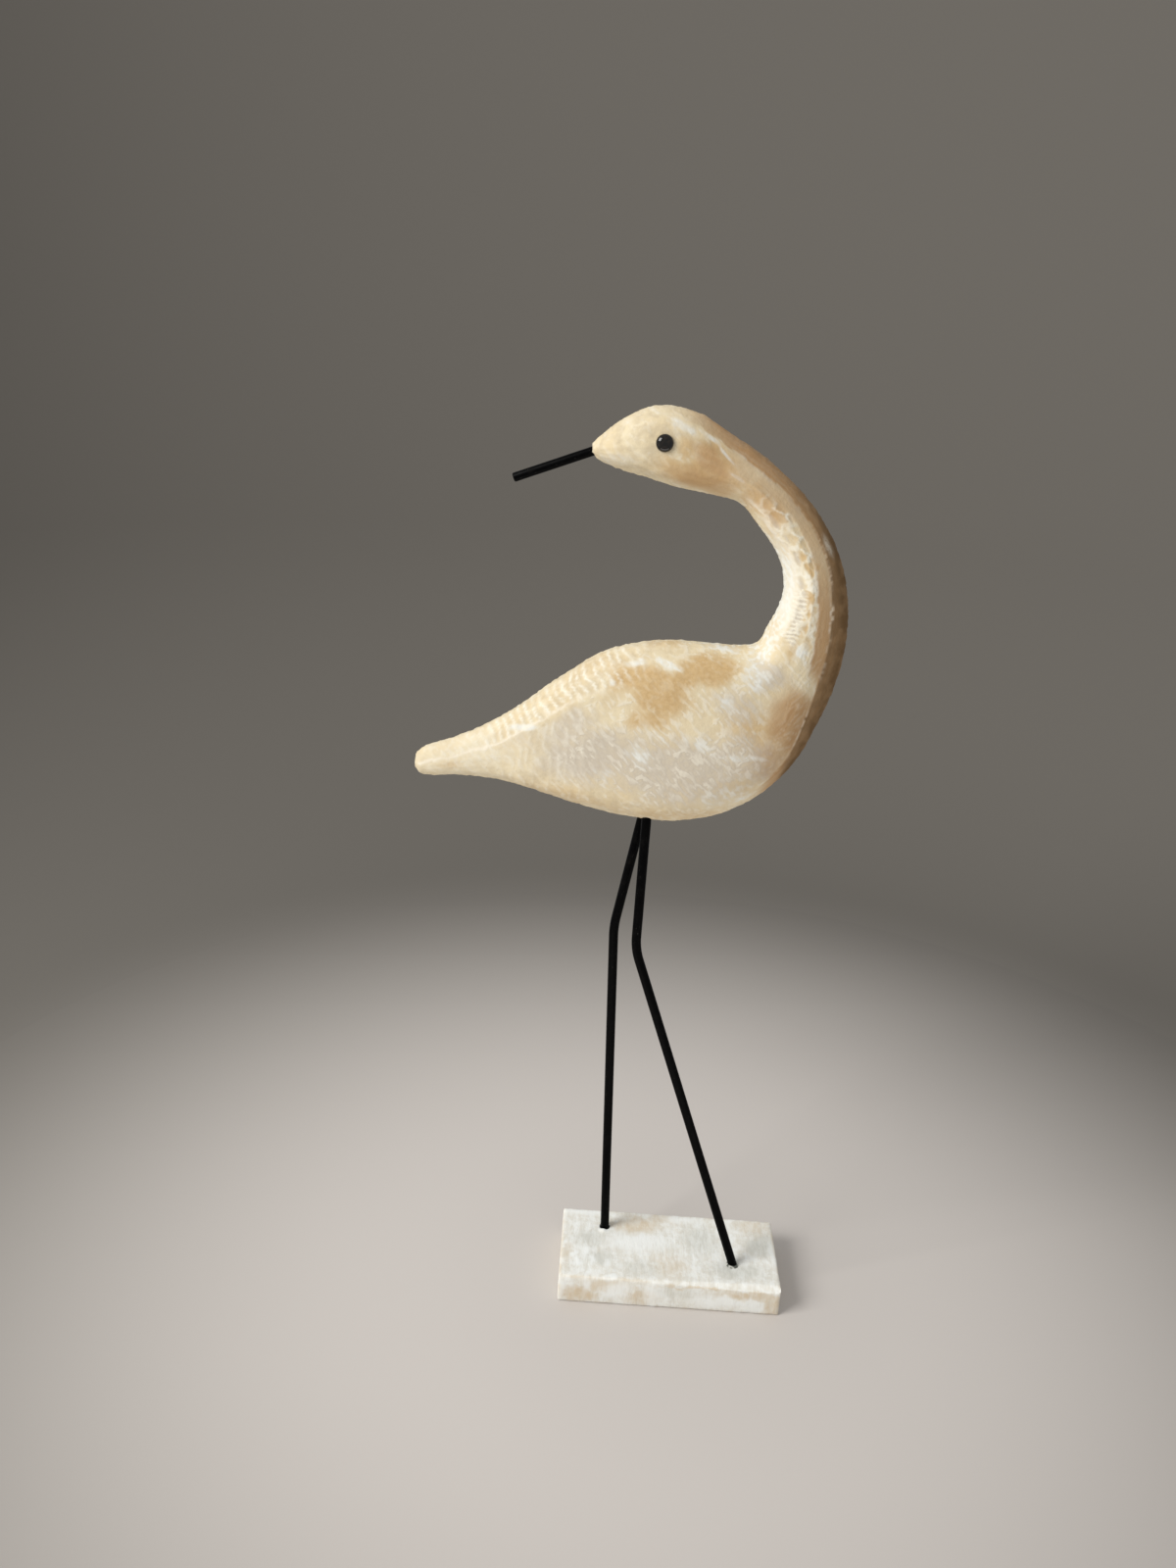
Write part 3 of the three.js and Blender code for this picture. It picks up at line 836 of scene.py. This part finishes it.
def patch_cover(x, z, side, patches):
    """How strongly the patches cover a point of the side. On the far side they are shifted."""
    if side > 0:
        x, z = x + 7, z + 2 * math.sin(x / 17)
    wobble = Vector((x, z, 31 * side)) / 7
    away_x, away_z = noise.noise(wobble), noise.noise(wobble + Vector((9, 4, 2)))
    cover = 0.0
    for (px, pz), length, width, tilt, strength in patches:
        ragged = 3.2 * min(1, width / 4)
        dx, dz = x + ragged * away_x - px, z + ragged * away_z - pz
        if max(abs(dx), abs(dz)) > 2 * max(length, width):
            continue
        c, s = math.cos(math.radians(tilt)), math.sin(math.radians(tilt))
        away = math.hypot((dx * c + dz * s) / length, (dz * c - dx * s) / width)
        cover = max(cover, strength * (1 - ramp(away, 0.3, 1.5)))
    return cover


def ripple(x, y, z):
    return noise.noise(Vector((x, y, z)))


def side_noise(place, size, side):
    """Perlin noise with lumps about as big as size, and not the same on both sides."""
    return noise.noise(place / size + Vector((3.1, 7.7, 11.0 * side)))


def strength(spot, ribs, *across):
    """How strong a kind of mark is at a spot, from its windows along and across the bird."""
    strong = window(spot.rib, *ribs)
    if across:
        strong *= window(spot.across, *across)
    return strong if strong > FAINTEST else 0.0


# Each kind of mark gives, at a spot: its height in millimetres, how much wash it holds, how far
# the wash is rubbed off between the marks, and how deep in a scoop of the neck the spot lies.
def tail_chatter(spot):
    """Chatter of the knife across the upper bevel of the tail."""
    along, across = spot.along_in, spot.across
    strong = strength(spot, CHATTER_RIBS, -0.6, 0.8, spot.in_shallow - 1.5, spot.in_shallow + 1.0)
    sway = 0.5 * ripple(along / 9, across / 8, 5 * spot.side)
    saw = abs(math.sin(math.pi * (along / CHATTER_PITCH - 0.17 * across + sway)))
    worn = min(1.1, max(0, 0.95 + 1.3 * ripple(along / 3, across / 4, 9)))
    held = worn * strong * (1 - ramp(saw, 0.2, 0.65))
    return -CHATTER_DEPTH * strong * saw, held, 0.2 * strong * ramp(saw, 0.5, 0.9), 0.0


def flank_ribs(spot):
    """Fainter ribs on the lower flank behind the legs."""
    along, across = spot.along_out, spot.across
    strong = strength(spot, FLANK_RIBS, spot.in_shallow + 2, spot.in_shallow + 6, spot.depth - 5,
                      spot.depth - 1)
    sway = 0.7 * ripple(along / 14, across / 12, 8 * spot.side)
    saw = abs(math.sin(math.pi * (along / FLANK_PITCH - 0.05 * across + sway)))
    worn = clamp(0.55 + 1.3 * ripple(along / 3, across / 5, 4))
    held = 0.6 * worn * strong * (1 - ramp(saw, 0.05, 0.6))
    return -FLANK_DEPTH * strong * saw, held, 0.0, 0.0


def neck_gouges(spot):
    """Gouge scoops on the flat of the neck, with ridges left between them."""
    across, side, crest = spot.across, spot.side, spot.depth - spot.out_shallow
    strong = strength(spot, GOUGED_RIBS, spot.in_steep - 1, spot.in_steep + 2, crest - 0.8,
                      crest + 1.0)
    along = (spot.along_in + spot.along_out) / 2
    sway = ripple(along / 4, across / 4, 13 * side)
    cell = Vector((along / GOUGE_LENGTH + 0.3 * sway, across / GOUGE_WIDTH - 0.25 * sway,
                   17.0 * side))
    near, far = noise.voronoi(cell)[0][:2]
    gap = far - near + 0.10 * side_noise(spot.place, 1.6, side)
    faint = 0.92 + 0.7 * side_noise(spot.place, 5, side) - 0.2 * ramp(spot.rib, 12.6, 14)
    held = faint * strong * (1 - ramp(gap, 0.0, 0.23))
    return (-GOUGE_DEPTH * strong * ramp(gap, 0.0, 0.5), held, 0.0,
            strong * ramp(gap, 0.02, 0.3))


def neck_ladder(spot):
    """Short cuts one above the other where the neck leaves the back."""
    inset = spot.in_steep + 2.5 * (1 - ramp(spot.rib, 10.5, 11.8))
    strong = strength(spot, LADDER_RIBS, inset - 1.5, inset + 0.3, inset + 4.5, inset + 6)
    sway = 0.3 * ripple(spot.along_in / 5, spot.across / 4, 29 * spot.side)
    rise = (spot.place.z + 0.15 * spot.place.x) / LADDER_PITCH
    cut = math.sin(2 * math.pi * (rise + sway))
    return (LADDER_HEIGHT * strong * cut, strong * ramp(cut, -0.2, 0.7), 0.0,
            1.2 * strong * ramp(-cut, -0.2, 0.6))


def head_scoops(spot):
    """Shallow scoops of the knife on the head."""
    strong = strength(spot, HEAD_RIBS)
    cell = Vector((spot.place.x / SCOOP_LENGTH, spot.place.z / SCOOP_WIDTH, 23.0 * spot.side))
    near, far = noise.voronoi(cell)[0][:2]
    return -SCOOP_DEPTH * strong * ramp(far - near, 0.0, 0.6), 0.0, 0.0, 0.0


def breast_rasp(spot):
    """Rasp marks that follow the breast."""
    across, crest = spot.across, spot.depth - spot.out_steep
    strong = strength(spot, RASPED_RIBS, spot.depth - 34, spot.depth - 22, crest - 3, crest - 1)
    sway = 1.5 * ripple(spot.along_out / 14, across / 5, 3 * spot.side)
    line = math.sin(2 * math.pi * (across / RASP_PITCH + sway))
    return RASP_HEIGHT * strong * line, 0.2 * strong * ramp(line, 0.4, 0.95), 0.0, 0.0


def saw_fuzz(spot):
    """Fuzz left by the saw along both edges."""
    across, depth = spot.across, spot.depth
    rim = max(window(across, -2, -1, 0.5, 1.6),
              window(across, depth - 1.6, depth - 0.5, depth + 1, depth + 2))
    return rim * FUZZ_HEIGHT * side_noise(spot.place, FUZZ_SIZE, spot.side), 0.0, 0.0, 0.0


def tool_marks(spot):
    """All the marks at a spot: the heights add up, and of the rest the strongest counts."""
    height = (0.42 * side_noise(spot.place, 19, spot.side)
              + 0.16 * side_noise(spot.place, 7, spot.side))
    rest = [0.0, 0.0, 0.0]
    for kind in (tail_chatter, flank_ribs, neck_gouges, neck_ladder, head_scoops, breast_rasp,
                 saw_fuzz):
        more, *others = kind(spot)
        height += more
        rest = [max(pair) for pair in zip(rest, others)]
    return height, *rest


def along_bird(rib, layers):
    """How strong the layers are together at a rib."""
    return sum(strength * window(rib, *ribs) for strength, ribs in layers)


def crest_paint(spot):
    """Wash worn bright along the crests of the facet ridges."""
    rib, depth = spot.rib, spot.depth
    patchy = 0.85 + 0.8 * noise.noise(spot.place / 6 + Vector((1, 2, 3 * spot.side)))
    crests = [
        (depth - spot.out_steep, 0.5, 0.62 * window(rib, 8.4, 9.4, 12.6, 13.8)),
        (depth - spot.out_shallow, 0.55, 0.8 * window(rib, 10.1, 10.6, 12.8, 14.0)),
        (spot.in_shallow, 0.8, window(rib, 0.4, 1.0, 4.0, 5.4)),
        (spot.in_steep, 1.0, 0.8 * window(rib, 9.8, 10.6, 14.5, 15.5)),
    ]
    bright = 0.0
    for crest, width, strength in crests:
        away = (spot.across - crest) / width
        bright = max(bright, strength * patchy * math.exp(-away * away))
    return min(bright, 1.0)


def glaze_and_shade_on_facets(spot):
    """The brown glaze on the two outer facets of the breast and the nape. On the steep facet it is
    also painted shade, darkest at the rim, where the facet turns from the light.
    """
    steep_crest, shallow_crest = spot.depth - spot.out_steep, spot.depth - spot.out_shallow
    # Towards its edge the steep facet darkens further: painted shade, where it turns from the light.
    rim = ramp(spot.across, spot.depth - 0.75 * spot.out_steep, spot.depth)
    steep = ramp(spot.across, steep_crest - 0.4, steep_crest + 0.6) * (0.84 + 0.26 * rim)
    shallow = ramp(spot.across, shallow_crest - 0.4, shallow_crest + 0.4)
    return max(along_bird(spot.rib, STEEP_GLAZE_AND_SHADE) * steep,
               along_bird(spot.rib, SHALLOW_GLAZE) * shallow)


def scratched_by_brush(spot):
    """How clearly the strokes of the brush show: most on the body, less on tail and belly."""
    on_body = window(spot.rib, *BODY_RIBS)
    on_chatter = (1 - ramp(spot.rib, 5.8, 7.0)) * (
        1 - ramp(spot.across, spot.in_shallow - 2, spot.in_shallow + 2))
    on_belly = ramp(spot.across, spot.depth - 20, spot.depth - 9)
    return (0.35 + 0.65 * on_body * (1 - 0.8 * on_chatter) * (1 - 0.7 * on_belly)
            + 0.45 * window(spot.rib, 11.8, 12.6, 16, 18))


def paint_at(spot, held, rubbed, scoop):
    """Two sets of paint: what is rubbed to the wood, brown glaze, which on the steep outer facet
    is also painted shade, grey wash and brush scratches, then thick white, which is also painted
    light on the inner neck and under the belly, the wash that marks hold, with a painted glint on
    the nape, and the bright crests."""
    def cover(patches):
        return patch_cover(spot.place.x, spot.place.z, spot.side, patches)

    outward = ramp(spot.across / spot.depth, 0.24, 0.36)
    rubbed = max(rubbed, scoop * outward * (
        0.3 + 0.5 * window(spot.rib, 10, 10.6, 13, 13.6)))
    # The inner side of the neck is whitened: white wash and painted light.
    inward = 1 - ramp(spot.across, spot.in_steep - 0.5, spot.in_steep + 4.5)
    inner = along_bird(spot.rib, INNER_WHITE_AND_LIGHT) * inward * (1 - 0.6 * scoop)
    paint = (max(cover(RUBBED_TAN), rubbed), max(cover(BROWN_GLAZE), glaze_and_shade_on_facets(spot)),
             max(cover(GREY_WASH), 0.8 * scoop * (1 - outward)), scratched_by_brush(spot))
    # The held wash also carries the painted glint on the nape.
    marks = (max(cover(THICK_WHITE_AND_LIGHT), inner), max(held, cover(NAPE_GLINT)), crest_paint(spot), 1)
    return paint, marks


def bird_facts():
    """For each sample of each ring: its place in metres, and its spot on the carving."""
    places, spots = [], []
    along_in, along_out = 0.0, 0.0
    before_in, before_out = INNER_EDGE[0], OUTER_EDGE[0]
    for t in ring_stations():
        inner, outer = through_points(INNER_EDGE, t), through_points(OUTER_EDGE, t)
        along_in += float(np.linalg.norm(inner - before_in))
        along_out += float(np.linalg.norm(outer - before_out))
        before_in, before_out = inner, outer
        samples, depth = half_section(t)
        samples = ease_ridges(samples, t)
        ridges = [float(r) for r in through_points(THICKNESS_RIDGES, t)[1:]]
        for side, order in ((-1, samples[:-1]), (1, samples[::-1])):
            for across, thick in order:
                x, z = inner + (outer - inner) * across / depth
                place = Vector((x, BIRD_PLANE_Y + side * thick, z))
                places.append(place * MM)
                spots.append(Spot(t * LAST_RIB, along_in, along_out, float(across), float(depth),
                                  *ridges, side, place))
    return places, spots


def close_end(bm, index, indices, ring):
    """Rounds the open end whose vertices carry the indices, over the places of its ring."""
    middle = sum(ring, Vector()) / len(ring)
    rim = [e for e in bm.edges if e.is_boundary and all(v[index] in indices for v in e.verts)]
    scale = 1.0
    for smaller in END_CAP_SCALES:
        verts, rim = extrude_rim(bm, rim)
        bmesh.ops.scale(bm, vec=(smaller / scale,) * 3, space=Matrix.Translation(-middle),
                        verts=verts)
        scale = smaller
    bmesh.ops.contextual_create(bm, geom=rim)


def make_bird():
    """The carved bird: a grid rolled into a tube through its rings, then cut with tool marks."""
    places, spots = bird_facts()
    per_ring = RING_SIDES + 1
    rings = len(places) // per_ring
    bm = bmesh.new()
    bmesh.ops.create_grid(bm, x_segments=rings - 1, y_segments=RING_SIDES, size=1)
    index = bm.verts.layers.int.new("index")
    paint = bm.verts.layers.float_color.new("paint")
    marks = bm.verts.layers.float_color.new("marks")
    lay = bm.verts.layers.float_vector.new("lay")
    for v in bm.verts:
        ring = round((v.co.x + 1) / 2 * (rings - 1))
        v[index] = ring * per_ring + round((v.co.y + 1) / 2 * RING_SIDES)
        v.co = places[v[index]]
    bmesh.ops.remove_doubles(bm, verts=bm.verts, dist=0.001 * MM)
    close_end(bm, index, range(per_ring), places[:per_ring])
    close_end(bm, index, range(len(places) - per_ring, len(places)), places[-per_ring:])
    bmesh.ops.recalc_face_normals(bm, faces=bm.faces)
    bm.normal_update()
    moved = []
    for v in bm.verts:
        place = v.co / MM
        spot = spots[v[index]]._replace(place=place)
        height, held, rubbed, scoop = tool_marks(spot)
        moved.append(v.co + v.normal * (height - CUT_BACK) * MM)
        wander = 0.9 * noise.noise(place / 5) + 0.7 * noise.noise(place / 1.7)
        spot = spot._replace(across=spot.across + wander)
        v[paint], v[marks] = paint_at(spot, held, rubbed, scoop)
        v[lay] = Vector(((spot.along_in + spot.along_out) / 2, 30 * spot.across / spot.depth,
                         40 * spot.side)) * MM
    for v, place in zip(bm.verts, moved):
        v.co = place
    bm.verts.layers.int.remove(index)
    return finish_mesh("bird_carved", bm, bird_material())


def scaled(tree, value, factor, plus=0.0):
    """value times factor plus a number, which may leave 0 to 1."""
    return add_node(tree, "Math", {0: value, 1: factor, 2: plus},
                    operation="MULTIPLY_ADD").outputs[0]


def brush_strokes(tree, clumps, scratched):
    """Slanting strokes of a stiff brush, which cross in clumps. From -0.4 to 0.6 at their
    clearest, and nearer to 0 the less the place is scratched."""
    slants = []
    for turn, start, end in ((-45, 0.33, 0.72), (30, 0.35, 0.74)):
        slant = mottle(tree, STROKE_SIZE, detail=0.8, turn=turn, scale=STROKE_SHAPE)
        slants.append(step_up(tree, slant, start, end))
    crossed = add_node(tree, "Mix", {0: step_up(tree, clumps, 0.60, 0.66), 2: slants[0],
                                     3: slants[1]}).outputs[0]
    return scaled(tree, scaled(tree, crossed, 1.0, -0.4), scratched)


def bird_material():
    """From the wood up: cream, grey wash, strokes, thick white with painted light, brown glaze,
    a dark glaze with painted shade, and bright marks with a painted glint.
    """
    material, tree, shader = new_material("whitewashed_wood", 0.70, specular=0.14)
    paint = add_node(tree, "Attribute", attribute_name="paint")
    rubbed, brown, grey = add_node(tree, "SeparateColor", {0: paint.outputs["Color"]}).outputs
    scratched = paint.outputs["Alpha"]
    marks = add_node(tree, "Attribute", attribute_name="marks").outputs["Color"]
    white, held, crest = add_node(tree, "SeparateColor", {0: marks}).outputs
    lay = add_node(tree, "Attribute", attribute_name="lay").outputs["Vector"]
    cloud = step_up(tree, mottle(tree, 0.014, detail=3), 0.33, 0.67)
    clumps = mottle(tree, 0.007)
    fine = step_up(tree, mottle(tree, 0.0020, detail=3, roughness=0.6), 0.3, 0.7)
    smudges = step_up(tree, mottle(tree, 0.0055, detail=4, roughness=0.6), 0.40, 0.62)
    grain = step_up(tree, mottle(tree, 0.0013, detail=3, place=lay, scale=(0.10, 1, 1)), 0.3, 0.7)
    strokes = brush_strokes(tree, clumps, scratched)

    cream = blend(tree, cloud, CREAM_DEEP, CREAM_PALE)
    dull = times(tree, smudges, step_up(tree, scratched, 0.35, 0.8, 0.55, 0.25))
    dull = times(tree, dull, step_up(tree, white, 0.0, 0.4, 1.0, 0.3))
    cream = blend(tree, dull, cream, SMUDGED_CREAM)
    wood = blend(tree, fine, WOOD_DEEP, WOOD_PALE)
    bare = step_up(tree, times(tree, scaled(tree, strokes, -0.3, 1.0), rubbed), 0.0, 1.0)
    wash = step_up(tree, times(tree, scaled(tree, strokes, 0.6, 0.9), grey), 0.05, 0.9, high=0.9)
    dry = times(tree, step_up(tree, brown, 0.05, 0.32, 1.0, 0.0),
                step_up(tree, rubbed, 0.2, 0.9, 1.0, 0.15))
    dry = times(tree, dry, step_up(tree, clumps, 0.35, 0.60, 0.35, 1.0))
    flecks = times(tree, dry, step_up(tree, strokes, -0.10, 0.46, high=0.54))
    # The thick white also carries painted light on the inner neck and under the belly.
    thick = step_up(tree, times(tree, scaled(tree, strokes, 0.7, 0.9), white), 0.15, 1.0)
    glaze = times(tree, step_up(tree, brown, 0.0, 0.5), step_up(tree, grain, 0.1, 0.9, 0.85, 1.0))
    # The very dark brown of the steep outer facet: glaze and painted shade together.
    umber_and_shade = times(tree, step_up(tree, brown, 0.45, 1.0),
                  step_up(tree, clumps, 0.35, 0.60, 0.78, 1.0))
    # This also lays the painted glint on the nape.
    line = times(tree, held, step_up(tree, fine, 0.0, 0.5, 0.45, 0.9))
    worn = times(tree, crest, step_up(tree, grain, 0.0, 0.4, 0.4, 0.9))
    set_colour(tree, shader, cream, (bare, wood), (wash, WASH_GREY), (flecks, STROKE_CREAM),
               (times(tree, thick, 0.85), WASH_WHITE_AND_LIGHT), (glaze, GLAZE_BROWN), (umber_and_shade, UMBER_GLAZE_AND_SHADE),
               (line, HELD_CREAM_AND_GLINT), (worn, CREST_CREAM))
    set_roughness(tree, shader, step_up(tree, thick, 0, 1, 0.66, 0.8))
    height = calc(tree, "ADD", times(tree, fine, 0.3), times(tree, grain, 0.12))
    height = calc(tree, "ADD", height, times(tree, flecks, 0.6))
    set_bump(tree, shader, height, 0.6, 0.0004)
    return material


bird = make_bird()
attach(bird, "root")
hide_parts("bird")

# Beak
# A short length of thinner rod, cut off blunt and painted like the legs. It is pushed into a
# hole in the front of the head.
BEAK_DIAMETER = 4.1 * MM
BEAK_ROOT = Vector((-66.4, BIRD_PLANE_Y, 443.1)) * MM
BEAK_TIP = Vector((-101.3, BIRD_PLANE_Y, 429.5)) * MM
BEAK_DEPTH = 14 * MM
BEAK_EASE = 0.5 * MM
BEAK_CHAMFER = 0.3 * BEAK_EASE

beak_axis = (BEAK_TIP - BEAK_ROOT).normalized()
beak_radius = BEAK_DIAMETER / 2
beak_mesh = bmesh.new()
add_rod(beak_mesh,
        [BEAK_ROOT - beak_axis * BEAK_DEPTH, BEAK_ROOT, BEAK_TIP - beak_axis * BEAK_EASE,
         BEAK_TIP - beak_axis * BEAK_CHAMFER, BEAK_TIP],
        [beak_radius, beak_radius, beak_radius, beak_radius - BEAK_CHAMFER,
         beak_radius - BEAK_EASE])
beak = finish_mesh("beak_black", beak_mesh, rod_black)
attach(beak, "root")
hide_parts("beak_rod")

# Eyes
# A glossy black bead on each side of the head, bought ready made with a domed face. Each is glued
# into a shallow round seat in the wood.
EYE_DIAMETER = 7.6 * MM
EYE_CENTRE = (-36.0 * MM, 449.3 * MM)
EYE_SEAT = 1.6 * MM
EYE_RISE = 2.4 * MM
EYE_RIB = 17.5
EYE_STEPS = 14
EYE_TURNS = 48
BEAD_BLACK = (0.004, 0.0035, 0.003, 1)
BEAD_HAZE = (0.016, 0.011, 0.008, 1)


def bead_material():
    material, tree, shader = new_material("black_bead", 0.12, specular=0.40)
    haze = mottle(tree, 0.0016, detail=3)
    set_colour(tree, shader, BEAD_BLACK, (step_up(tree, haze, 0.4, 0.7), BEAD_HAZE))
    set_roughness(tree, shader, step_up(tree, haze, 0.4, 0.75, 0.10, 0.20))
    return material


def make_eye(name, side, material):
    half = float(through_points(THICKNESS_RIDGES, EYE_RIB / LAST_RIB)[0])
    surface_y = (BIRD_PLANE_Y + side * half) * MM
    x, z = EYE_CENTRE
    radius = EYE_DIAMETER / 2
    bm = bmesh.new()
    verts = [bm.verts.new((x, surface_y - side * EYE_SEAT, z)),
             bm.verts.new((x + radius, surface_y - side * EYE_SEAT, z))]
    for step in range(EYE_STEPS + 1):
        angle = math.pi / 2 * step / EYE_STEPS
        verts.append(bm.verts.new((x + radius * math.cos(angle),
                                   surface_y + side * EYE_RISE * math.sin(angle), z)))
    edges = [bm.edges.new(pair) for pair in zip(verts, verts[1:])]
    bmesh.ops.spin(bm, geom=verts + edges, cent=(x, surface_y, z), axis=(0, 1, 0),
                   angle=2 * math.pi, steps=EYE_TURNS, use_merge=True)
    bmesh.ops.remove_doubles(bm, verts=bm.verts, dist=0.001 * MM)
    bmesh.ops.recalc_face_normals(bm, faces=bm.faces)
    return finish_mesh(name, bm, material)


bead = bead_material()
for node, side in (("eye_left", -1), ("eye_right", 1)):
    eye = make_eye(node + "_bead", side, bead)
    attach(eye, "root")
    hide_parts(node)
